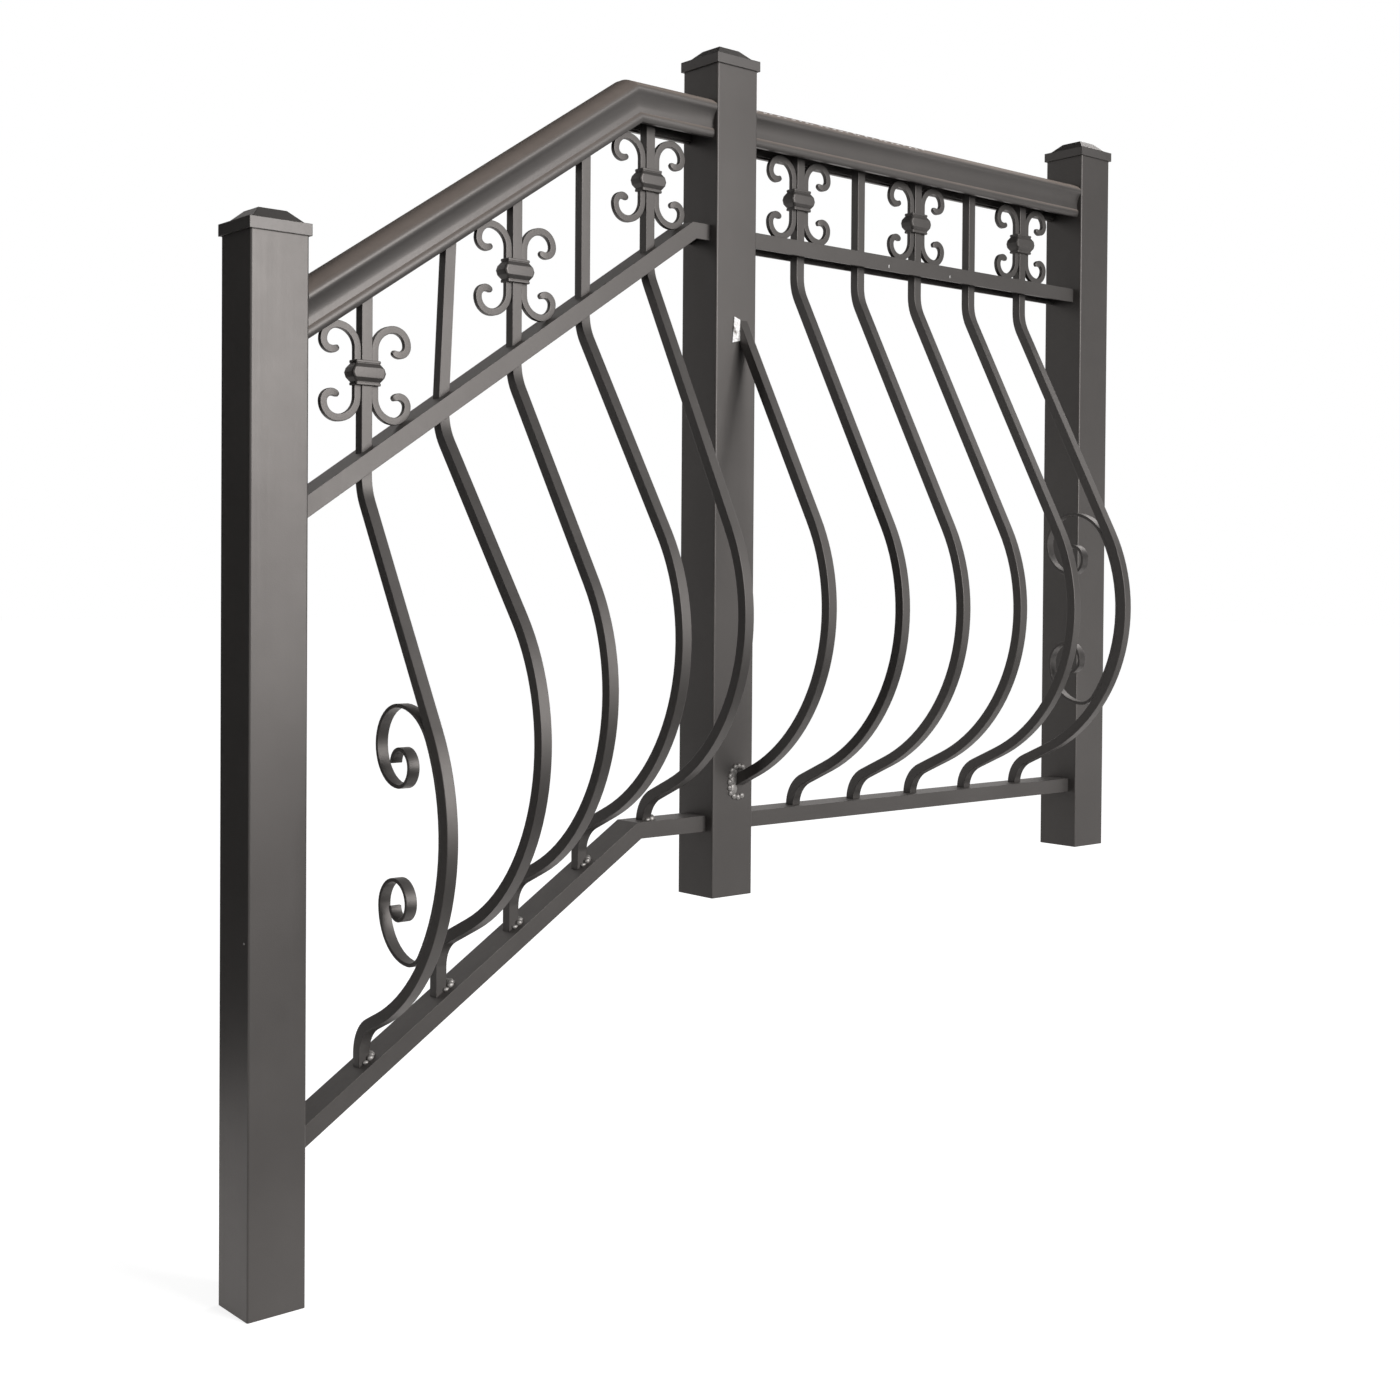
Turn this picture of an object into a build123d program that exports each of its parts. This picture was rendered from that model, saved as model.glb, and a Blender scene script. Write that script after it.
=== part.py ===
from build123d import *
from math import atan, cos, degrees, radians, sqrt, tan
import os

os.makedirs("parts", exist_ok=True)

# Driving dimensions in mm. X runs along the railing, the bellies stand out towards -Y.
post_side = 63.5
post_wall = 3.0
post_corner = 2.0
post_height = 995.0
stair_bay = 602.0
level_bay = 694.0
left_post_drop = 354.0
left_post_height = 1073.5

# Caps: a skirt round the post, a ledge, then four slopes up to a small flat top.
cap_side = 68.0
cap_skirt = 12.0
cap_ledge = 4.6
cap_rise = 13.0
cap_flat = 31.0
cap_wall = 3.0
cap_clearance = 0.3

# Rails are channels open below. Tops and knees are those of the rail's upper face.
channel_width = 38.0
channel_wall = 3.0
rail_depth = 19.0
sub_rail_depth = 12.7
sub_rail_inset = 2.5
channel_clearance = 0.3
handrail_slope = 0.676
bottom_rail_slope = 0.636
bottom_rail_top = 98.0
bottom_rail_knee = -136.0
mid_rail_drop = 190.5
mid_rail_knee = -58.0
handrail_drop = 88.0
handrail_knee = -140.0

# Handrail moulding: half width and height of each point above its underside.
lip_foot = (27, 0)
lip = (28.4, 4.5)
lip_end = (26.6, 9.5)
cove = (21, 22.5)
cove_end = (25.6, 33.5)
nose_foot = (29.4, 36.5)
nose = (31, 40)
nose_end = (29.6, 43)
crown_side = (15, 46.4)
crown = (0, 47.4)
handrail_wall = 4.0

picket_side = 12.7
hole_clearance = 0.4
stair_pitch = 94.1
level_pitch = 108.3
belly_radius = 215.0
foot_bend = 38.0
foot_angle = 65.0
neck_bend = 60.0
level_pickets = 5
level_belly = 186.0
level_neck_drop = 57.0
# The stair pickets were bent and set by hand. From the lower end of the stair: depth of the
# belly, neck below the mid rail, upright stub on the bottom rail. One head leans, in degrees.
stair_bellies = (166.0, 190.0, 178.0, 183.0, 178.0)
stair_neck_drops = (42.0, 36.0, 37.0, 37.5, 28.0)
stair_stubs = (10.0, 29.0, 23.5, 15.5, -3.0)
leaning_picket = 1
head_lean = 2.8
head_root = 4.0
post_picket_x = 11.5
post_picket_foot = 101.2
post_picket_belly = 182.5
post_picket_neck_drop = 66.0
weld_width = 9.0
weld_height = 28.0
weld_lean = 3.0
weld_thickness = 1.5

# Ornaments: a pair of scroll bars held to a picket by a collar.
ornaments = (0, 2, 4)
stair_ornament_rise = 79.0
level_ornament_rise = 53.3
ornament_forward = 2.0
scroll_width = 8.0
scroll_depth = 6.0
scroll_straight = 25.0
scroll_radii = (23.0, 16.3, 9.8)
scroll_tip_reach = 12.0
scroll_tip_rise = 1.0
scroll_tip_width = 5.0
collar_height = 26.0
collar_width = 32.0
collar_depth = 16.0
collar_corner = 1.5
collar_band_height = 19.0
collar_band = 5.0
collar_band_edge = 4.0
collar_clearance = 0.15

# Flat-bar C-scroll on the belly's inner face: angles up and down from its widest height.
c_thickness = 4.0
c_top_angle = 28.0
c_low_angle = 35.0
c_top_start = 61.0
c_low_start = 26.0
c_top_radii = (41, 41, 20, 18, 15)
c_low_radii = (54, 28, 23, 17, 13)

face = post_side / 2
mid_rail_top = post_height - mid_rail_drop
handrail_bottom = post_height - handrail_drop
slab = post_side + 2 * level_belly


def rail_height(x, top, knee, slope):
    return top if x > knee else top - slope * (knee - x)


def raised(top, knee, slope, up):
    return top + up, knee - up * tan(atan(slope) / 2), slope


def spread(x0, x1, count, pitch):
    middle = (x0 + x1) / 2
    return [middle + pitch * (i - (count - 1) / 2) for i in range(count)]


def post(x, foot, top):
    inner = post_side - 2 * post_wall
    with BuildPart() as made:
        with BuildSketch(Plane.XY.offset(foot)):
            with Locations((x, 0)):
                RectangleRounded(post_side, post_side, post_corner)
        extrude(amount=top - foot)
        with BuildSketch(Plane.XY.offset(foot + post_wall)):
            with Locations((x, 0)):
                Rectangle(inner, inner)
        extrude(amount=top - foot, mode=Mode.SUBTRACT)
    return made


def cap(x, skirt_foot):
    slopes = cap_side - 2 * cap_ledge
    lean = degrees(atan((slopes - cap_flat) / 2 / cap_rise))
    socket = post_side + 2 * cap_clearance
    seat = cap_skirt - cap_wall
    with BuildPart() as made:
        with BuildSketch(Plane.XY.offset(skirt_foot)):
            with Locations((x, 0)):
                Rectangle(cap_side, cap_side)
        extrude(amount=cap_skirt)
        with BuildSketch(Plane.XY.offset(skirt_foot + cap_skirt)):
            with Locations((x, 0)):
                Rectangle(slopes, slopes)
        extrude(amount=cap_rise, taper=lean)
        with BuildSketch(Plane.XY.offset(skirt_foot)):
            with Locations((x, 0)):
                Rectangle(socket, socket)
        extrude(amount=seat, mode=Mode.SUBTRACT)
        with BuildSketch(Plane.XY.offset(skirt_foot + seat)):
            with Locations((x, 0)):
                Rectangle(slopes - 2 * cap_wall, slopes - 2 * cap_wall)
        extrude(amount=cap_rise, taper=lean, mode=Mode.SUBTRACT)
    return made


def channel(depth):
    inner = channel_width - 2 * channel_wall
    with BuildSketch() as section:
        with Locations((0, -depth / 2)):
            Rectangle(channel_width, depth)
        with Locations((0, -channel_wall - depth / 2)):
            Rectangle(inner, depth, mode=Mode.SUBTRACT)
    return section.sketch


def moulding():
    recess = channel_width / 2 + channel_clearance
    recess_top = sub_rail_inset + sub_rail_depth
    with BuildSketch() as section:
        with BuildLine():
            Polyline((0, recess_top), (recess, recess_top), (recess, 0), lip_foot)
            ThreePointArc(lip_foot, lip, lip_end)
            ThreePointArc(lip_end, cove, cove_end)
            Line(cove_end, nose_foot)
            ThreePointArc(nose_foot, nose, nose_end)
            ThreePointArc(nose_end, crown_side, crown)
            mirror(about=Plane.YZ)
        make_face()
        with BuildLine():
            Polyline((0, recess_top + handrail_wall), (cove[0] - handrail_wall, recess_top + handrail_wall),
                     (cove[0] - handrail_wall, cove_end[1] - handrail_wall),
                     (nose_foot[0] - handrail_wall, nose_foot[1]),
                     (nose_foot[0] - handrail_wall, nose_end[1] - handrail_wall),
                     (0, crown[1] - handrail_wall))
            mirror(about=Plane.YZ)
        make_face(mode=Mode.SUBTRACT)
    return section.sketch


def between(x0, x1):
    with BuildPart() as span:
        with Locations(((x0 + x1) / 2, 0, 0)):
            Box(x1 - x0, 2 * slab, 4 * post_height)
    return span.part


def rail(section, x0, x1, top, knee, slope):
    keep = between(x0, x1)
    start = x0 - post_side
    end = x1 + post_side
    corners = [(start, 0, rail_height(start, top, knee, slope)), (end, 0, top)]
    if start < knee:
        corners.insert(1, (knee, 0, top))
    with BuildPart() as made:
        with BuildLine() as path:
            Polyline(*corners)
        with BuildSketch(Plane(origin=path.line @ 0, x_dir=(0, 1, 0), z_dir=path.line % 0)):
            add(section)
        sweep(path=path.line, transition=Transition.RIGHT)
        add(keep, mode=Mode.INTERSECT)
    return made


def punch(rail_part, places):
    side = picket_side + 2 * hole_clearance
    with BuildPart() as made:
        add(rail_part)
        with Locations([(x, 0, mid_rail_top) for x in places]):
            Box(side, side, 2 * post_height, mode=Mode.SUBTRACT)
    return made


def under(top, knee, slope):
    low = -2 * post_height
    far = -2 * stair_bay
    with BuildPart() as block:
        with BuildSketch(Plane.XZ.offset(-post_side)):
            with BuildLine():
                Polyline((far, low), (far, rail_height(far, top, knee, slope)), (knee, top),
                         (-far, top), (-far, low), close=True)
            make_face()
        extrude(amount=slab)
    return block.part


def belly_shape(stub_top, neck, belly):
    low_angle = radians(foot_angle)
    low_corner = stub_top + foot_bend * tan(low_angle / 2)
    widest = low_corner + (belly + belly_radius * (1 / cos(low_angle) - 1)) / tan(low_angle)
    rise = neck - widest
    half = (rise - sqrt(rise**2 - belly * (2 * belly_radius - belly))) / (2 * belly_radius - belly)
    low, high = tan(low_angle), tan(2 * atan(half))
    apex = (low * low_corner + high * neck) / (low + high)
    return low_corner, widest, (low * (low_corner - apex), apex)


def bent_bar(x, stub_top, neck, top, belly):
    low_corner, _, apex = belly_shape(stub_top, neck, belly)
    with BuildPart() as made:
        with BuildSketch(Plane.YZ.offset(x - picket_side / 2)):
            with BuildLine() as line:
                Polyline((0, stub_top - foot_bend), (0, low_corner), apex, (0, neck), (0, top))
                for height, radius in ((low_corner, foot_bend), (apex[1], belly_radius), (neck, neck_bend)):
                    corner = line.vertices().sort_by(lambda v: abs(v.Y - height))[0]
                    fillet(corner, radius=radius)
            trace(line_width=picket_side)
        extrude(amount=picket_side)
    return made


def ends(x, neck_drop, stub):
    foot = rail_height(x, bottom_rail_top, bottom_rail_knee, bottom_rail_slope)
    rail_top = rail_height(x, mid_rail_top, mid_rail_knee, handrail_slope)
    return foot + stub, rail_top - neck_drop, rail_top


def picket(x, belly, neck_drop, stub, lean):
    stub_top, neck, rail_top = ends(x, neck_drop, stub)
    bar = bent_bar(x, stub_top, neck, rail_top, belly)
    with BuildPart() as made:
        add(bar.part)
        add(under(bottom_rail_top, bottom_rail_knee, bottom_rail_slope), mode=Mode.SUBTRACT)
        with Locations(Location((x, 0, rail_top), (0, lean, 0)) * Location((0, 0, -head_root))):
            Box(picket_side, picket_side, 2 * mid_rail_drop, align=(Align.CENTER, Align.CENTER, Align.MIN))
        add(roof, mode=Mode.INTERSECT)
    return made


def post_picket(x):
    neck = mid_rail_top - post_picket_neck_drop
    bar = bent_bar(x, post_picket_foot, neck, post_height, post_picket_belly)
    with BuildPart() as made:
        add(bar.part)
        with Locations((x, -face, mid_rail_top)):
            Box(post_side, post_side, 2 * post_height, align=(Align.CENTER, Align.MIN, Align.CENTER),
                mode=Mode.SUBTRACT)
    return made


def weld_patch(picket_piece):
    top_end = picket_piece.part.vertices().group_by(Axis.Y)[-1].sort_by(Axis.Z)[-1]
    edge = post_picket_x - picket_side / 2
    with BuildPart() as made:
        with BuildSketch(Plane.XZ.offset(face)):
            with BuildLine():
                Polyline((edge, top_end.Z), (edge - weld_width, top_end.Z + weld_lean),
                         (edge - weld_width - weld_lean, top_end.Z - weld_height),
                         (edge, top_end.Z - weld_height + weld_lean), close=True)
            make_face()
        extrude(amount=weld_thickness)
    return made


def scroll_pair():
    start = (picket_side + scroll_width) / 2
    with BuildPart() as made:
        with BuildSketch(Plane.XZ):
            with BuildLine():
                bar = Line((start, 0), (start, scroll_straight))
                for radius in scroll_radii:
                    bar = JernArc(bar @ 1, bar % 1, radius, -90)
            trace(line_width=scroll_width)
            end = bar @ 1
            tip = end + Vector(-scroll_tip_reach, scroll_tip_rise)
            with BuildLine():
                Polyline(end - (0, scroll_width / 2), tip - (0, scroll_tip_width / 2),
                         tip + (0, scroll_tip_width / 2), end + (0, scroll_width / 2), close=True)
            make_face()
            mirror(about=Plane.XZ)
            mirror(about=Plane.YZ)
        extrude(amount=scroll_depth / 2, both=True)
    return made


def collar():
    bar = picket_side + 2 * collar_clearance
    with BuildPart() as made:
        for grow, height in ((collar_band, collar_band_height), (0, collar_height)):
            with BuildSketch(Plane.XY.offset(-height / 2)) as outline:
                Rectangle(collar_width + 2 * grow, collar_depth + grow)
                chamfer(outline.vertices(), length=collar_corner)
            extrude(amount=height)
            if grow:
                ends_of_band = made.edges().group_by(Axis.Z)
                chamfer(ends_of_band[0] + ends_of_band[-1], length=collar_band_edge, length2=grow / 2)
        with BuildSketch(Plane.XY.offset(-collar_height)):
            with Locations((0, ornament_forward)):
                Rectangle(bar, bar)
            Rectangle(bar + 2 * scroll_width, scroll_depth + 2 * collar_clearance)
        extrude(amount=2 * collar_height, mode=Mode.SUBTRACT)
    return made


def c_scroll(x, belly, neck_drop, stub):
    stub_top, neck, _ = ends(x, neck_drop, stub)
    _, widest, _ = belly_shape(stub_top, neck, belly)
    spine = belly_radius - (picket_side + c_thickness) / 2
    with BuildPart() as made:
        with BuildSketch(Plane.YZ.offset(x - picket_side / 2)):
            with BuildLine():
                back = CenterArc((belly_radius - belly, widest), spine, 180 - c_top_angle,
                                 c_top_angle + c_low_angle)
                bar = JernArc(back @ 0, -(back % 0), c_top_start, c_top_angle - 90)
                for radius in c_top_radii:
                    bar = JernArc(bar @ 1, bar % 1, radius, -90)
                bar = JernArc(back @ 1, back % 1, c_low_start, 90 - c_low_angle)
                for radius in c_low_radii:
                    bar = JernArc(bar @ 1, bar % 1, radius, 90)
            trace(line_width=c_thickness)
        extrude(amount=picket_side)
    return made


def placed(piece, places):
    with BuildPart() as group:
        with Locations(*places):
            add(piece.part)
    return group


handrail = (handrail_bottom, handrail_knee, handrail_slope)
sub_rail_line = raised(*handrail, sub_rail_inset + sub_rail_depth)
roof = under(*raised(*handrail, sub_rail_inset + sub_rail_depth - channel_wall))
left_top = left_post_height - left_post_drop
into_cap = cap_skirt - cap_wall
stair_x = spread(-stair_bay, 0, len(stair_bellies), stair_pitch)
level_x = spread(0, level_bay, level_pickets, level_pitch)

pieces = {
    "left_post": post(-stair_bay, -left_post_drop, left_top + into_cap),
    "middle_post": post(0, 0, post_height + into_cap),
    "right_post": post(level_bay, 0, post_height + into_cap),
    "left_post_cap": cap(-stair_bay, left_top),
    "middle_post_cap": cap(0, post_height),
    "right_post_cap": cap(level_bay, post_height),
    "post_picket": post_picket(post_picket_x),
}
pieces["weld_patch"] = weld_patch(pieces["post_picket"])
for bay, x0, x1, places in (("stair", -stair_bay, 0, stair_x), ("level", 0, level_bay, level_x)):
    span = (x0 + face, x1 - face)
    mid_rail = rail(channel(rail_depth), *span, mid_rail_top, mid_rail_knee, handrail_slope)
    pieces[bay + "_mid_rail"] = punch(mid_rail.part, places)
    pieces[bay + "_bottom_rail"] = rail(channel(rail_depth), *span, bottom_rail_top, bottom_rail_knee,
                                        bottom_rail_slope)
    pieces[bay + "_handrail"] = rail(moulding(), *span, *handrail)
    pieces[bay + "_sub_rail"] = rail(channel(sub_rail_depth), *span, *sub_rail_line)

shapes = list(zip(stair_x, stair_bellies, stair_neck_drops, stair_stubs))
shapes += [(x, level_belly, level_neck_drop, 0) for x in level_x]
for i, shape in enumerate(shapes):
    pieces[f"picket_{i + 1}"] = picket(*shape, head_lean if i == leaning_picket else 0)
centres = []
for i in ornaments:
    above_rail = rail_height(stair_x[i], mid_rail_top, mid_rail_knee, handrail_slope)
    centres.append((stair_x[i], -ornament_forward, above_rail + stair_ornament_rise))
    centres.append((level_x[i], -ornament_forward, mid_rail_top + level_ornament_rise))
pieces["scrolls"] = placed(scroll_pair(), centres)
pieces["collars"] = placed(collar(), centres)
with BuildPart() as c_scrolls:
    for shape in (shapes[0], shapes[-1]):
        add(c_scroll(*shape).part)
pieces["c_scrolls"] = c_scrolls

for name, piece in pieces.items():
    piece.part.label = name
    export_step(piece.part, f"parts/{name}.step")
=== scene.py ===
from math import atan, cos, radians, tan

import bmesh
import bpy
from mathutils import Matrix, Vector, noise
from mathutils.geometry import intersect_line_line


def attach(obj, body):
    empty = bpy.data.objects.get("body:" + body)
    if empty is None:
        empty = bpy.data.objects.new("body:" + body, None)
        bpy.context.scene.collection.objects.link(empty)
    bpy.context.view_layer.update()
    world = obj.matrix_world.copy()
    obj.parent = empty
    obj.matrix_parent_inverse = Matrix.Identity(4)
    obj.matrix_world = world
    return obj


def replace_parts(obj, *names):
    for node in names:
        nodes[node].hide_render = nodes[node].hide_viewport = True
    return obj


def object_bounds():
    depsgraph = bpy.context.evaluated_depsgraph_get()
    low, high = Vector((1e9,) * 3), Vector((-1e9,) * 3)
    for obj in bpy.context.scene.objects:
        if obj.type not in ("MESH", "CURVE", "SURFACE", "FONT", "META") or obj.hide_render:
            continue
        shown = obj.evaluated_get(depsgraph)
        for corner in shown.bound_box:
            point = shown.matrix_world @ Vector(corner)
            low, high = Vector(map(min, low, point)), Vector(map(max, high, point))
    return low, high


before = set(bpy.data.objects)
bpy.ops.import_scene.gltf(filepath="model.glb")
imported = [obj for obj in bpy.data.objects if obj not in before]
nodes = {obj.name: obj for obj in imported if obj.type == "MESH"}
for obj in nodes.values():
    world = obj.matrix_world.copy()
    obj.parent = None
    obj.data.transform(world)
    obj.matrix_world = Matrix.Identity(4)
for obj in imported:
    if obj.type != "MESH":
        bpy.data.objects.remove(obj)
cad_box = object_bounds()

# Meshes: points closer than this are one, and how sharp an edge has to be to stay one.
merge_distance = 0.00001
smooth_below = radians(24)
handrail_smooth_below = radians(20)
weld_smooth_below = radians(60)

# Pickets and C-scrolls: rounding of the long edges, and the angles that tell faces from corners.
picket_edge = 0.0006
flat_below = radians(0.5)
corner_above = radians(30)

# Lines of the railing: the height of its level run, where the stair run turns down, its slope.
handrail_line = (0.907, -0.140, 0.676)
bottom_rail_line = (0.098, -0.136, 0.636)

# Handrail moulding: half width and height of each point above its underside.
recess = (0.0193, 0.0152)
lip_foot = (0.0243, 0.0)
lip = (0.0267, 0.0052)
lip_end = (0.0246, 0.0108)
cove_foot = (0.0240, 0.0160)
cove = (0.0257, 0.0245)
nose_foot = (0.0302, 0.0322)
nose = (0.0312, 0.0362)
nose_end = (0.0298, 0.0400)
crown_side = (0.0165, 0.0472)
crown = (0.0, 0.0492)
edge_steps = 9
crown_steps = 10

# Scroll bars: section, spacing from the picket's middle, radii of the curl, blunt tapering hook.
scroll_section = (0.008, 0.006)
scroll_round = 0.0009
scroll_start = 0.01035
scroll_straight = 0.025
scroll_radii = (0.023, 0.0163, 0.0098)
scroll_steps = 9
scroll_hook = radians(38)
scroll_taper = (0.98, 0.96, 0.93, 0.89, 0.84, 0.78)
scroll_end = ((0.0009, 0.66), (0.0012, 0.4))

# Collar from its foot to its middle: height from the middle, width and depth.
collar_rings = ((-0.013, 0.0294, 0.0152), (-0.0125, 0.0300, 0.0164), (-0.0106, 0.0300, 0.0164),
                (-0.0101, 0.0292, 0.0152), (-0.0095, 0.0292, 0.0152), (-0.0090, 0.0300, 0.0162),
                (-0.0056, 0.0352, 0.0206), (-0.0048, 0.0366, 0.0212), (0.0, 0.0402, 0.0212))
collar_corner = 0.0024
corner_steps = 3

# Welds at the feet of the stair pickets, from the front corner back along the uphill side: place
# from the middle of the foot, and half size.
stair_pickets = ("picket_1", "picket_2", "picket_3", "picket_4", "picket_5")
foot_weld = (((0.0016, -0.0074, 0.0002), (0.0042, 0.0022, 0.0026)),
             ((0.0066, -0.0078, 0.0010), (0.0044, 0.0032, 0.0038)),
             ((0.0092, -0.0036, 0.0016), (0.0044, 0.0046, 0.0042)),
             ((0.0090, 0.0022, 0.0014), (0.0040, 0.0046, 0.0038)))

# Weld round the lower end of the half picket: places across and up the middle post's front.
bead = ((-0.0045, 0.145), (-0.0015, 0.1515), (0.0035, 0.1553), (0.0095, 0.1562), (0.0150, 0.1550),
        (-0.0055, 0.138), (-0.0054, 0.131), (-0.0038, 0.1245), (0.0015, 0.1205), (0.0080, 0.1190),
        (0.0140, 0.1205))
bead_size = (0.0036, 0.0024, 0.0036)
bead_out = 0.0006
pool_x = 0.0012
pool_heights = (0.129, 0.140, 0.148)
pool_size = (0.0058, 0.0016, 0.0072)
pool_out = 0.0002
lump_unevenness = 0.2
lump_noise_scale = 500

# Bare spots: a drop low on the left post, nicks in the level mid rail, chips along the handrail.
drop_place = (-0.0223, 0.019)
drop_size = (0.0005, 0.0012, 0.0012)
nick_height = 0.7915
nicks = ((0.2776, (0.0006, 0.0002, 0.0024)), (0.3965, (0.0006, 0.0002, 0.002)))
chip_count = 26
chip_start = (0.036, -0.0272, 0.0423)
chip_pitch = 0.0118
chip_stray = Vector((0.006, 0.0012, -0.0007))
chip_size = (0.0026, 0.0006, 0.0005)
chip_extra_length = 0.0034
chip_seed = (0.7, 3.1)

# Paint and bare metal.
steel = ((0.058, 0.054, 0.0515), (0.07, 0.0655, 0.0625))
cap_steel = ((0.066, 0.062, 0.06), (0.078, 0.074, 0.071))
# Weld lumps: paler paint over the weld, made lighter still as a painted highlight.
bead_steel_and_highlight = ((0.19, 0.18, 0.172), (0.3, 0.288, 0.276))
dust_colour = (0.11, 0.103, 0.098)
# Brown on the handrail's upward faces: partly grime, partly painted light from above, so it is far lighter
# than the paint.
grime_and_top_light_colour = (0.23, 0.19, 0.165)
weld_grey = (0.5, 0.48, 0.47)
weld_white = (0.95, 0.94, 0.94)
weld_brown = (0.16, 0.145, 0.135)
coat_tint = (1.0, 0.93, 0.895)
coat_roughness = 0.35
coat_metallic = 0.35
peel_depth = 0.00005
grain_depth = 0.0008
rail_soft_edge = 0.0007
cap_soft_edge = 0.001

# Studio. Black boards keep the far sides dark: size, place and turn about Z in degrees.
floor_side = 60.0
floor_gap = 0.0005
floor_grey = 0.5
floor_glow = 0.84
ambient = 0.35
board_black = 0.004
right_flag_glow = 0.15
floor_flag = ((3.4, 2.6), (0.1, -1.75, -0.33))
ceiling_flag = ((5.0, 4.0), (0.2, 0.3, 2.6))
upright_flags = (("left_flag", (0.75, 2.1), (-1.07, 0.58, 0.72), 25.0),
                 ("right_flag", (3.5, 2.6), (4.9, -2.8, 2.05), 40.0))
# Softboxes: place, target, width, height and power.
key_light = ((0.6, -3.3, 1.42), (-0.4, 0, 0.55), 1.8, 2.4, 158)
side_light = ((3.4, 0.6, 2.6), (0.4, 0, 0.7), 1.6, 1.6, 45)

# Camera: a square picture, its focal length and optical centre in pixels, its place and turns.
picture_side = 1400
focal_pixels = 1828.3
optical_centre = (706.0, 612.0)
sensor_width = 36.0
view_depth = 60
camera_place = (-1.4647, -1.6723, 0.3769)
camera_turns = ((-0.7135, "Z"), (-0.0158, "X"), (-0.0073, "Y"), (radians(90), "X"))


class Value:
    """A node socket that can be used in plain arithmetic."""

    def __init__(self, tree, socket):
        self.tree = tree
        self.socket = socket

    def _math(self, operation, *inputs, clamp=False):
        node = self.tree.nodes.new("ShaderNodeMath")
        node.operation = operation
        node.use_clamp = clamp
        for place, item in zip(node.inputs, inputs):
            if isinstance(item, Value):
                self.tree.links.new(item.socket, place)
            else:
                place.default_value = item
        return Value(self.tree, node.outputs[0])

    def __add__(self, other):
        return self._math("ADD", self, other)

    def __radd__(self, other):
        """Sums start from a plain 0, which needs no node."""
        return self if other == 0 else self._math("ADD", other, self)

    def __sub__(self, other):
        return self._math("SUBTRACT", self, other)

    def __rsub__(self, other):
        return self._math("SUBTRACT", other, self)

    def __mul__(self, other):
        return self._math("MULTIPLY", self, other)

    def __rmul__(self, other):
        return self._math("MULTIPLY", other, self)

    def above(self, low, high):
        """0 below low, 1 above high, straight between them."""
        return self._math("DIVIDE", self - low, high - low, clamp=True)


class Finish:
    """A material and the nodes that colour it."""

    def __init__(self, name):
        self.material = bpy.data.materials.new(name)
        self.material.use_nodes = True
        self.tree = self.material.node_tree
        self.shader = self.tree.nodes["Principled BSDF"]
        self.place = self.node("ShaderNodeTexCoord", output="Object")

    def node(self, kind, settings=None, output=0, **inputs):
        made = self.tree.nodes.new(kind)
        for name, value in (settings or {}).items():
            setattr(made, name, value)
        for name, value in inputs.items():
            self.feed(made.inputs[name.replace("_", " ")], value)
        return Value(self.tree, made.outputs[output])

    def feed(self, socket, value):
        if isinstance(value, Value):
            self.tree.links.new(value.socket, socket)
        else:
            socket.default_value = value

    def set(self, **inputs):
        for name, value in inputs.items():
            self.feed(self.shader.inputs[name.replace("_", " ")], value)

    def noise(self, scale, detail=3.0, roughness=0.5, place=None):
        return self.node("ShaderNodeTexNoise", Vector=place or self.place, Scale=scale, Detail=detail,
                         Roughness=roughness)

    def mix(self, share, first, second):
        made = self.tree.nodes.new("ShaderNodeMix")
        made.data_type = "RGBA"
        self.feed(made.inputs["Factor"], share)
        self.feed(made.inputs["A"], first)
        self.feed(made.inputs["B"], second)
        return Value(self.tree, made.outputs["Result"])

    def stretched(self, scale):
        return self.node("ShaderNodeMapping", Vector=self.place, Scale=scale)

    def facing(self, axis):
        """How much the surface faces along an axis, from -1 to 1."""
        normal = self.node("ShaderNodeNewGeometry", output="Normal")
        return self.node("ShaderNodeSeparateXYZ", output=axis, Vector=normal)

    def bump(self, height, distance, normal=None):
        made = self.tree.nodes.new("ShaderNodeBump")
        made.inputs["Strength"].default_value = 1.0
        made.inputs["Distance"].default_value = distance
        self.feed(made.inputs["Height"], height)
        if normal:
            self.feed(made.inputs["Normal"], normal)
        return Value(self.tree, made.outputs[0])


def opaque(colour):
    return (*colour, 1)


def powder_coat(name, sides, soft_edge=0.0, grimy_and_lit_top=False):
    """Satin powder coat over steel: fine orange peel, faint clouds, dust on what faces up."""
    finish = Finish(name)
    cloud = finish.noise(7.0, detail=3.0)
    peel = finish.noise(900.0, detail=1.0)
    dust = finish.noise(45.0, detail=6.0, roughness=0.7)
    brushed = finish.noise(1.0, detail=4.0, place=finish.stretched((260.0, 260.0, 5.0)))
    up = finish.facing("Z").above(0.35, 0.95)
    shade = finish.mix(cloud.above(0.3, 0.7), opaque(sides[0]), opaque(sides[1]))
    shade = finish.mix(up * (0.25 + 0.5 * dust.above(0.4, 0.7)), shade, opaque(dust_colour))
    grime_and_top_light = 0.0
    # The handrail's upward faces turn a lighter brown: partly grime, partly painted light from above.
    if grimy_and_lit_top:
        grime_and_top_light = finish.facing("Z").above(0.15, 0.8) * (0.7 + 0.3 * dust)
        shade = finish.mix(grime_and_top_light, shade, opaque(grime_and_top_light_colour))
    rounded = finish.node("ShaderNodeBevel", {"samples": 6}, Radius=soft_edge) if soft_edge else None
    finish.set(
        Base_Color=shade,
        Roughness=coat_roughness + 0.08 * dust + 0.05 * brushed + 0.12 * up + 0.4 * grime_and_top_light,
        Metallic=coat_metallic - 0.3 * grime_and_top_light,
        Specular_Tint=opaque(coat_tint),
        Normal=finish.bump(peel, peel_depth, normal=rounded),
    )
    return finish.material


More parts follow.
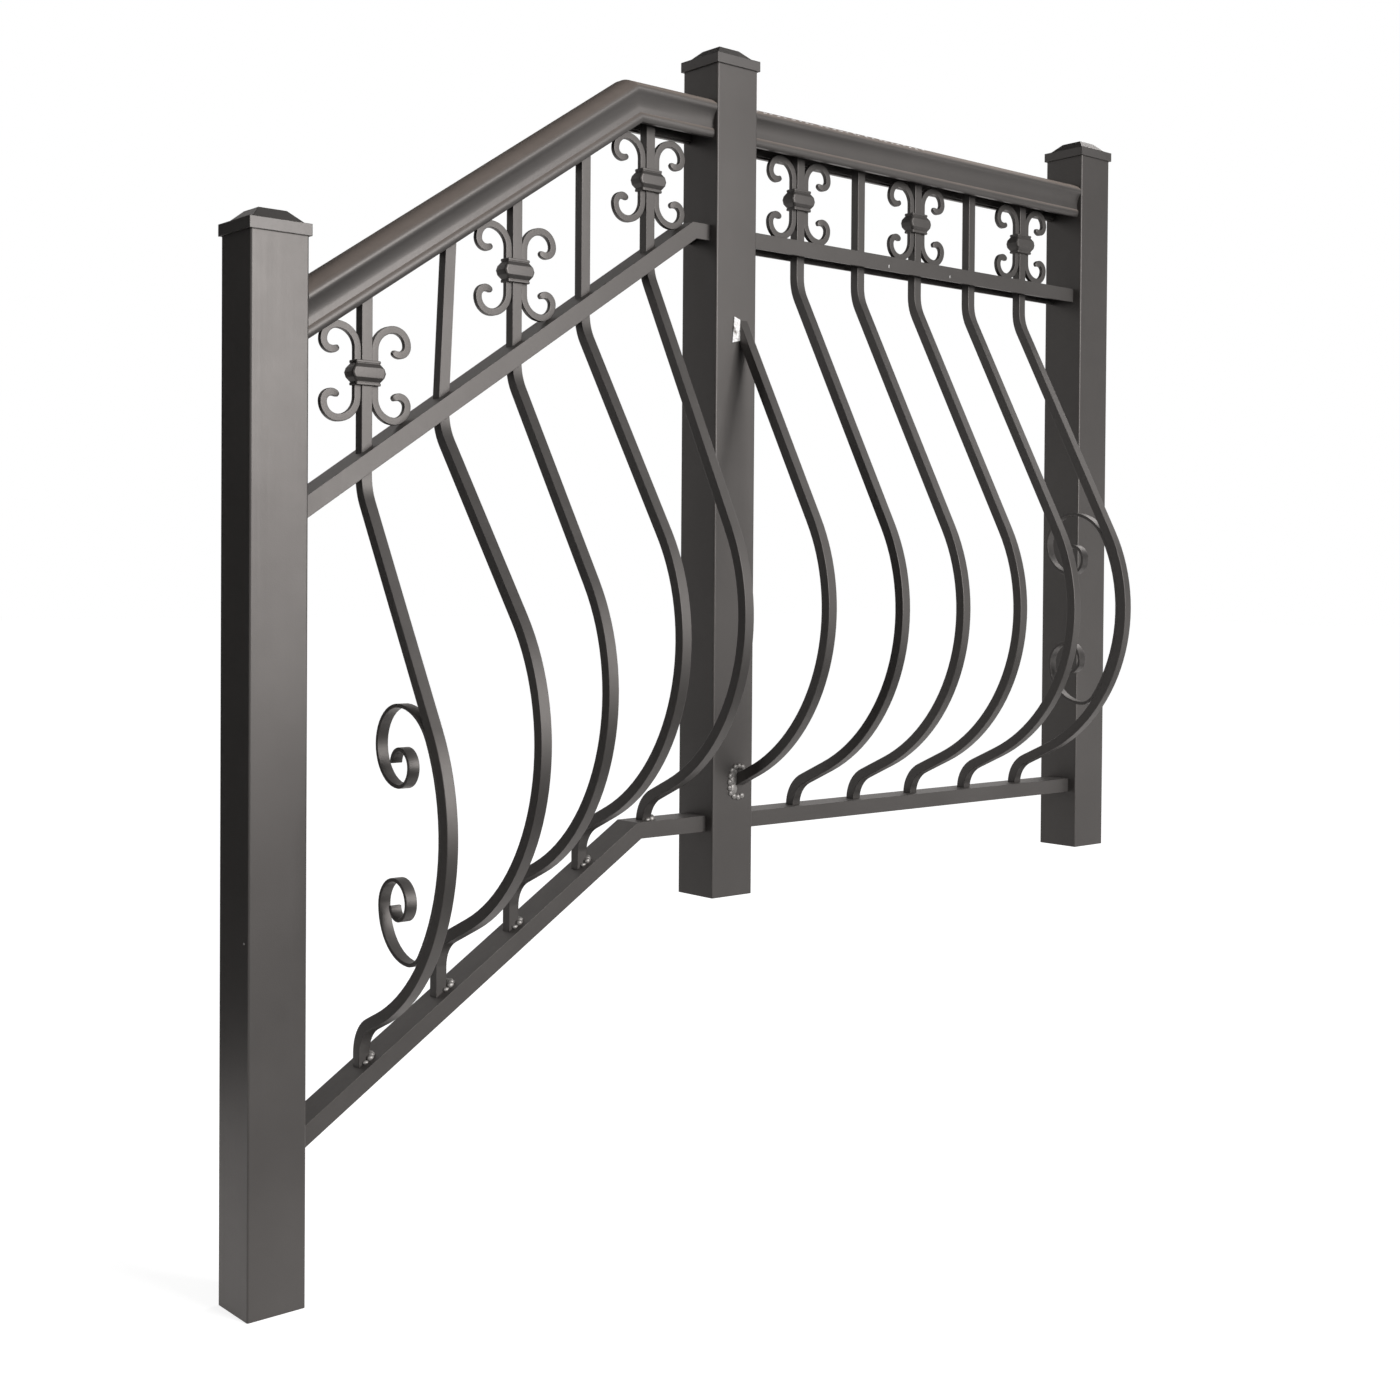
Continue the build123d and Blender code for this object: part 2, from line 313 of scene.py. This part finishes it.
def bare_weld(name):
    """Unpainted weld metal, pale and rough, browned in patches."""
    finish = Finish(name)
    grain = finish.noise(420.0, detail=5.0, roughness=0.7)
    patch = finish.noise(110.0, detail=3.0)
    pale_metal = finish.mix(grain.above(0.38, 0.62), opaque(weld_grey), opaque(weld_white))
    finish.set(
        Base_Color=finish.mix(patch.above(0.58, 0.72), pale_metal, opaque(weld_brown)),
        Roughness=0.5 + 0.3 * grain,
        Metallic=0.2,
        Normal=finish.bump(grain, grain_depth),
    )
    return finish.material


crisp_paint = powder_coat("rail_paint_soft_edges", steel, soft_edge=rail_soft_edge)
rail_paint = powder_coat("rail_paint", steel)
handrail_paint = powder_coat("handrail_paint", steel, grimy_and_lit_top=True)
# Lighter paint on the weld lumps: partly paler paint over the weld, partly a painted highlight.
bead_paint_and_highlight = powder_coat("bead_paint_and_highlight", bead_steel_and_highlight)
cap_paint = powder_coat("cap_paint", cap_steel, soft_edge=cap_soft_edge)
weld_metal = bare_weld("bright_weld")
for name, node in nodes.items():
    paint = cap_paint if name.endswith("_cap") else weld_metal if name == "weld_patch" else crisp_paint
    node.data.materials.clear()
    node.data.materials.append(paint)


def shown(name, mesh, paint, smooth=smooth_below):
    """A finished bmesh as an object of the railing, smooth except at its real edges."""
    bmesh.ops.recalc_face_normals(mesh, faces=mesh.faces)
    data = bpy.data.meshes.new(name)
    mesh.to_mesh(data)
    mesh.free()
    data.shade_smooth()
    data.set_sharp_from_angle(angle=smooth)
    data.materials.append(paint)
    piece = bpy.data.objects.new(name, data)
    bpy.context.scene.collection.objects.link(piece)
    even = piece.modifiers.new("even", "WEIGHTED_NORMAL")
    even.keep_sharp = True
    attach(piece, "root")
    return piece


def verts_in(items):
    return [item for item in items if isinstance(item, bmesh.types.BMVert)]


def edges_in(items):
    return [item for item in items if isinstance(item, bmesh.types.BMEdge)]


def everything(mesh):
    return mesh.verts[:] + mesh.edges[:] + mesh.faces[:]


def verts_of(loop):
    return list(dict.fromkeys(v for edge in loop for v in edge.verts))


def middle_of(verts):
    return sum((v.co for v in verts), Vector()) / len(verts)


def reach(node_name, axis):
    """Where a node starts and ends along an axis."""
    places = [v.co[axis] for v in nodes[node_name].data.vertices]
    return min(places), max(places)


def section_loop(mesh, size, corner):
    """A rounded rectangle of edges in the XY plane, its middle at the origin."""
    grid = bmesh.ops.create_grid(mesh, x_segments=1, y_segments=1, size=0.5)
    bmesh.ops.scale(mesh, verts=grid["verts"], vec=(*size, 1))
    bmesh.ops.bevel(mesh, geom=mesh.verts[:], offset=corner, affect="VERTICES", segments=corner_steps,
                    profile=0.5, material=-1)
    bmesh.ops.delete(mesh, geom=mesh.faces[:], context="FACES_ONLY")
    return mesh.edges[:]


def drawn_out(mesh, loop, move, grow=(1, 1, 1)):
    """Extrude a loop of edges, move the new one and scale it about its own middle."""
    made = bmesh.ops.extrude_edge_only(mesh, edges=loop)["geom"]
    verts = verts_in(made)
    bmesh.ops.translate(mesh, verts=verts, vec=move)
    bmesh.ops.scale(mesh, verts=verts, vec=grow, space=Matrix.Translation(-middle_of(verts)))
    return edges_in(made)


def curled(mesh, loop, centre, angle, steps):
    """Spin a loop of edges about an axis along Y through a point of the XZ plane."""
    spun = bmesh.ops.spin(mesh, geom=loop + verts_of(loop), cent=(centre[0], 0, centre[1]),
                          axis=(0, 1, 0), angle=angle, steps=steps)
    return edges_in(spun["geom_last"])


def narrowed(mesh, loop, grow, turned):
    """Thin the tip of a scroll bar across its own length, half as much in its depth."""
    verts = verts_of(loop)
    own = Matrix.Rotation(-turned, 4, "Y") @ Matrix.Translation(-middle_of(verts))
    bmesh.ops.scale(mesh, verts=verts, vec=(1, 1 - (1 - grow) / 2, grow), space=own)


def mirrored(mesh, axis):
    bmesh.ops.mirror(mesh, geom=everything(mesh), axis=axis, merge_dist=merge_distance)


def repeated(mesh, places):
    """Copies of the whole mesh at every place."""
    first = everything(mesh)
    for place in places[1:]:
        copy = bmesh.ops.duplicate(mesh, geom=first)["geom"]
        bmesh.ops.translate(mesh, verts=verts_in(copy), vec=place)
    bmesh.ops.translate(mesh, verts=verts_in(first), vec=places[0])


def softened(node_name):
    """The node's own shape with its bends smoothed and its long edges rounded."""
    mesh = bmesh.new()
    mesh.from_mesh(nodes[node_name].data)
    bmesh.ops.remove_doubles(mesh, verts=mesh.verts, dist=merge_distance)
    bmesh.ops.dissolve_limit(mesh, angle_limit=flat_below, verts=mesh.verts, edges=mesh.edges)
    corners = [e for e in mesh.edges if e.is_manifold and e.calc_face_angle(0) > corner_above]
    bmesh.ops.bevel(mesh, geom=corners, offset=picket_edge, affect="EDGES", segments=2, profile=0.5,
                    material=-1, clamp_overlap=True)
    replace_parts(shown(node_name + "_smooth", mesh, rail_paint), node_name)


def line_to(mesh, tip, place):
    """Carry the handrail's section on from its tip in a straight line."""
    end = bmesh.ops.extrude_vert_indiv(mesh, verts=[tip])["verts"][0]
    end.co = (0, -place[0], place[1])
    return end


def arc_to(mesh, tip, through, place, steps):
    """Carry it on as an arc through one place to another."""
    points = [tip.co.copy()] + [Vector((0, -half, up)) for half, up in (through, place)]
    across = [((a + b) / 2, (b - a).cross(Vector((1, 0, 0)))) for a, b in zip(points, points[1:])]
    centre = intersect_line_line(*[p for start, way in across for p in (start, start + way)])[0]
    first, last = points[0] - centre, points[2] - centre
    turn = first.angle(last) if first.cross(last).x > 0 else -first.angle(last)
    spun = bmesh.ops.spin(mesh, geom=[tip], cent=centre, axis=(1, 0, 0), angle=turn, steps=steps)
    return verts_in(spun["geom_last"])[0]


def handrail(node_name, stations):
    """The moulding drawn through stations: place along X, its lean, height and stretch upwards."""
    mesh = bmesh.new()
    tip = bmesh.ops.create_vert(mesh, co=(0, 0, recess[1]))["vert"][0]
    for place in (recess, (recess[0], 0), lip_foot):
        tip = line_to(mesh, tip, place)
    tip = arc_to(mesh, tip, lip, lip_end, edge_steps)
    tip = line_to(mesh, tip, cove_foot)
    tip = arc_to(mesh, tip, cove, nose_foot, edge_steps)
    tip = arc_to(mesh, tip, nose, nose_end, edge_steps)
    arc_to(mesh, tip, crown_side, crown, crown_steps)
    mirrored(mesh, "Y")
    loop = mesh.edges[:]
    bmesh.ops.edgeloop_fill(mesh, edges=loop)
    for _ in stations[1:]:
        loop = drawn_out(mesh, loop, (1, 0, 0))
    bmesh.ops.edgeloop_fill(mesh, edges=loop)
    for v in mesh.verts:
        x, lean, z, stretch = stations[round(v.co.x)]
        v.co = (x + lean * v.co.z, v.co.y, z + stretch * v.co.z)
    piece = shown(node_name + "_moulding", mesh, handrail_paint, handrail_smooth_below)
    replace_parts(piece, node_name)


def scroll_bars(places):
    """Two bars beside each picket, each curled outwards at both ends."""
    mesh = bmesh.new()
    loop = section_loop(mesh, scroll_section, scroll_round)
    bmesh.ops.translate(mesh, verts=mesh.verts, vec=(scroll_start, 0, 0))
    loop = drawn_out(mesh, loop, (0, 0, scroll_straight))
    big, medium, small = scroll_radii
    centres = ((scroll_start + big, scroll_straight),
               (scroll_start + big, scroll_straight + big - medium),
               (scroll_start + big + medium - small, scroll_straight + big - medium))
    for centre in centres:
        loop = curled(mesh, loop, centre, radians(90), scroll_steps)
    width = 1.0
    turned = 0.0
    for narrow in scroll_taper:
        step = scroll_hook / len(scroll_taper)
        loop = curled(mesh, loop, centres[-1], step, 1)
        turned += step
        narrowed(mesh, loop, narrow / width, turned)
        width = narrow
    for far, narrow in scroll_end:
        loop = drawn_out(mesh, loop, Matrix.Rotation(turned, 3, "Y") @ Vector((-far, 0, 0)))
        narrowed(mesh, loop, narrow / width, turned)
        width = narrow
    bmesh.ops.edgeloop_fill(mesh, edges=loop)
    mirrored(mesh, "Z")
    mirrored(mesh, "X")
    repeated(mesh, places)
    return mesh


def collars(places):
    """Grooved collars whose band comes to a point at both ends."""
    mesh = bmesh.new()
    (height, width, depth), *rings = collar_rings
    loop = section_loop(mesh, (width, depth), collar_corner)
    bmesh.ops.edgeloop_fill(mesh, edges=loop)
    bmesh.ops.translate(mesh, verts=mesh.verts, vec=(0, 0, height))
    for up, wide, deep in rings:
        loop = drawn_out(mesh, loop, (0, 0, up - height), (wide / width, deep / depth, 1))
        height, width, depth = up, wide, deep
    mirrored(mesh, "Z")
    repeated(mesh, places)
    return mesh


def ornament_places():
    """Middle of each ornament, from the solid collars that it replaces."""
    cad = bmesh.new()
    cad.from_mesh(nodes["collars"].data)
    bmesh.ops.remove_doubles(cad, verts=cad.verts, dist=merge_distance)
    middles = []
    done = set()
    for start in cad.verts:
        if start in done:
            continue
        island = {start}
        rim = {start}
        while rim:
            rim = {e.other_vert(v) for v in rim for e in v.link_edges} - island
            island |= rim
        done |= island
        middles.append(Vector([(min(v.co[i] for v in island) + max(v.co[i] for v in island)) / 2
                               for i in range(3)]))
    cad.free()
    return middles


def lumps(name, spots, paint):
    """Weld metal laid as overlapping lumps: place and half size of each."""
    mesh = bmesh.new()
    for place, size in spots:
        ball = bmesh.ops.create_icosphere(mesh, subdivisions=2, radius=1.0)["verts"]
        bmesh.ops.scale(mesh, verts=ball, vec=size)
        bmesh.ops.translate(mesh, verts=ball, vec=place)
        for v in ball:
            out = (v.co - Vector(place)).normalized()
            v.co += lump_unevenness * min(size) * noise.noise(v.co * lump_noise_scale) * out
    shown(name, mesh, paint, weld_smooth_below)


bars = [name for name in nodes if "picket" in name] + ["c_scrolls"]
for name in bars:
    softened(name)

middles = ornament_places()
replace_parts(shown("scroll_bars", scroll_bars(middles), rail_paint), "scrolls")
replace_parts(shown("collar_knobs", collars(middles), rail_paint), "collars")

height, knee, slope = handrail_line
fall = atan(slope)
left_end, right_end = reach("stair_handrail", 0)
handrail("stair_handrail", ((left_end, 0, height - slope * (knee - left_end), 1 / cos(fall)),
                            (knee, -tan(fall / 2), height, 1), (right_end, 0, height, 1)))
left_end, right_end = reach("level_handrail", 0)
handrail("level_handrail", ((left_end, 0, height, 1), (right_end, 0, height, 1)))

rail_top, rail_knee, rail_slope = bottom_rail_line
feet = []
for name in stair_pickets:
    x = sum(reach(name, 0)) / 2
    for (dx, dy, dz), size in foot_weld:
        feet.append(((x + dx, dy, rail_top + dz - rail_slope * max(rail_knee - x - dx, 0)), size))
lumps("picket_foot_welds", feet, bead_paint_and_highlight)

post_front = reach("middle_post", 1)[0]
ring = [((x, post_front - bead_out, z), bead_size) for x, z in bead]
pool = [((pool_x, post_front - pool_out, z), pool_size) for z in pool_heights]
lumps("half_picket_weld", ring + pool, bead_paint_and_highlight)

mid_front = reach("level_mid_rail", 1)[0]
spots = [((reach("left_post", 0)[0], *drop_place), drop_size)]
spots += [((x, mid_front, nick_height), size) for x, size in nicks]
for i in range(chip_count):
    gap, drop, length = (noise.noise(Vector((chip_seed[0] * i, chip_seed[1], k))) for k in range(3))
    place = Vector(chip_start) + Vector((chip_pitch * i, 0, height)) + chip_stray * Vector((gap, drop, drop))
    spots.append((place, (chip_size[0] + chip_extra_length * abs(length), *chip_size[1:])))
lumps("bare_spots", spots, weld_metal)


# Floor and backdrop, then the light and the camera.
def plate(name, size, place, turn=0.0):
    """A flat board of the studio, turned about X before it is moved to its place."""
    grid = bmesh.new()
    bmesh.ops.create_grid(grid, x_segments=1, y_segments=1, size=0.5)
    bmesh.ops.scale(grid, verts=grid.verts, vec=(*size, 1))
    bmesh.ops.rotate(grid, verts=grid.verts, matrix=Matrix.Rotation(turn, 3, "X"))
    bmesh.ops.translate(grid, verts=grid.verts, vec=place)
    data = bpy.data.meshes.new(name)
    grid.to_mesh(data)
    grid.free()
    board = bpy.data.objects.new(name, data)
    bpy.context.scene.collection.objects.link(board)
    return board


def seen(tree):
    """1 where the camera looks at a surface or sees it mirrored or through glass, else 0."""
    paths = tree.nodes.new("ShaderNodeLightPath")
    return sum(Value(tree, paths.outputs[kind])
               for kind in ("Is Camera Ray", "Is Glossy Ray", "Is Transmission Ray"))


def dull(name, colour, roughness=1.0):
    """A matt grey finish without gloss."""
    finish = Finish(name)
    finish.set(Base_Color=(colour, colour, colour, 1), Roughness=roughness, Specular_IOR_Level=0.0)
    return finish


pale = dull("pale_floor", floor_grey, roughness=0.95)
pale.set(Emission_Color=(1, 1, 1, 1), Emission_Strength=seen(pale.tree) * floor_glow)
floor = plate("floor", (floor_side, floor_side), (0, 0, cad_box[0][2] - floor_gap))
floor.data.materials.append(pale.material)

world = bpy.data.worlds.new("studio")
bpy.context.scene.world = world
world.use_nodes = True
sky = world.node_tree.nodes["Background"]
sky.inputs["Color"].default_value = (1, 1, 1, 1)
sky_level = ambient + (1 - ambient) * seen(world.node_tree)
world.node_tree.links.new(sky_level.socket, sky.inputs["Strength"])

black = dull("black_flag", board_black)
dim = dull("dim_flag", board_black)
dim.set(Emission_Color=(1, 1, 1, 1), Emission_Strength=right_flag_glow)
boards = [plate("ceiling_flag", *ceiling_flag), plate("floor_flag", *floor_flag)]
for name, size, place, turn_z in upright_flags:
    board = plate(name, size, (0, 0, 0), turn=radians(90))
    board.data.transform(Matrix.Translation(place) @ Matrix.Rotation(radians(turn_z), 4, "Z"))
    boards.append(board)
for board in boards:
    board.data.materials.append(dim.material if board.name == "right_flag" else black.material)
    board.visible_camera = False
    board.visible_shadow = False
    board.visible_transmission = False


def softbox(name, place, target, width, height, power):
    """A rectangular light aimed at a target."""
    lamp = bpy.data.lights.new(name, "AREA")
    lamp.shape = "RECTANGLE"
    lamp.size = width
    lamp.size_y = height
    lamp.energy = power
    holder = bpy.data.objects.new(name, lamp)
    aim = (Vector(target) - Vector(place)).to_track_quat("-Z", "Y")
    holder.matrix_world = Matrix.Translation(place) @ aim.to_matrix().to_4x4()
    bpy.context.scene.collection.objects.link(holder)


softbox("key", *key_light)
softbox("side", *side_light)

lens = bpy.data.cameras.new("camera")
lens.sensor_width = sensor_width
lens.lens = sensor_width * focal_pixels / picture_side
lens.shift_x = (picture_side / 2 - optical_centre[0]) / picture_side
lens.shift_y = (optical_centre[1] - picture_side / 2) / picture_side
lens.clip_end = view_depth
camera = bpy.data.objects.new("camera", lens)
stand = Matrix.Translation(camera_place)
for angle, axis in camera_turns:
    stand = stand @ Matrix.Rotation(angle, 4, axis)
camera.matrix_world = stand
bpy.context.scene.collection.objects.link(camera)
bpy.context.scene.camera = camera
bpy.context.scene.view_settings.view_transform = "Standard"
